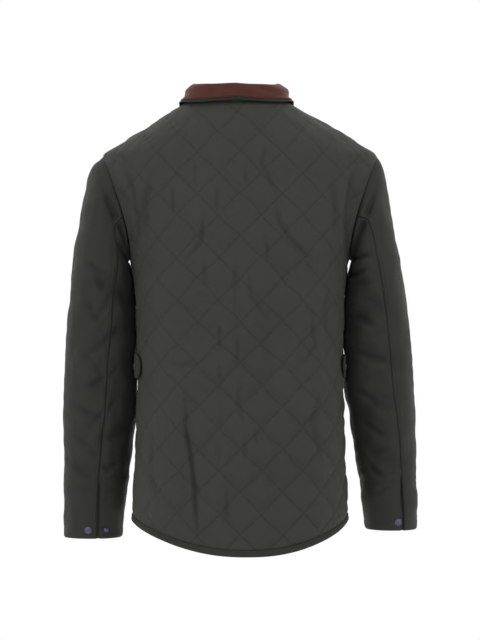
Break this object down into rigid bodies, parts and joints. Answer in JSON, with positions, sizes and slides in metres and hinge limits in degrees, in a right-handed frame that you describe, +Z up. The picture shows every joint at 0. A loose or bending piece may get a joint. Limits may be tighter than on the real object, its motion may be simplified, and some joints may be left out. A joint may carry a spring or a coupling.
{
  "type": "quilted jacket",
  "caption": "Hip-length diamond-quilted jacket, filled out as if worn, with a turned-down collar, plain two-piece sleeves, a snap front and a curved, bound back hem.",
  "frame": {"origin": "where the wearer's shoulders hold the jacket: midway between the shoulders, 8 mm below the back neck seam", "axes": "+Z up, +Y towards the back of the jacket, +X towards the wearer's left"},
  "size_m": [0.6174, 0.283, 0.7983],
  "materials": {
    "body_cloth": "dark olive nylon, softly sheened, quilted",
    "sleeve_cloth": "dark olive nylon, softly sheened, plain",
    "trim_cloth": "dark green binding and under-collar",
    "collar_cloth": "reddish brown napped cloth",
    "snap_metal": "dark nickel"
  },
  "bodies": {
    "root": {"back": "body_cloth", "front_left": "body_cloth", "front_right": "body_cloth", "hem_back": "trim_cloth", "hem_front_left": "trim_cloth", "hem_front_right": "trim_cloth", "sleeve_upper_left": "sleeve_cloth", "sleeve_under_left": "sleeve_cloth", "sleeve_upper_right": "sleeve_cloth", "sleeve_under_right": "sleeve_cloth", "collar_top": "collar_cloth", "collar_under": "trim_cloth", "tab_left": "body_cloth", "tab_right": "body_cloth", "tab_snap_left": "snap_metal", "tab_snap_right": "snap_metal", "cuff_snap_left": "snap_metal", "cuff_snap_left_small": "snap_metal", "cuff_snap_right": "snap_metal", "front_snap_1": "snap_metal", "front_snap_2": "snap_metal", "front_snap_3": "snap_metal", "front_snap_4": "snap_metal", "front_snap_5": "snap_metal", "front_snap_6": "snap_metal", "front_snap_7": "snap_metal"}
  },
  "joints": []
}
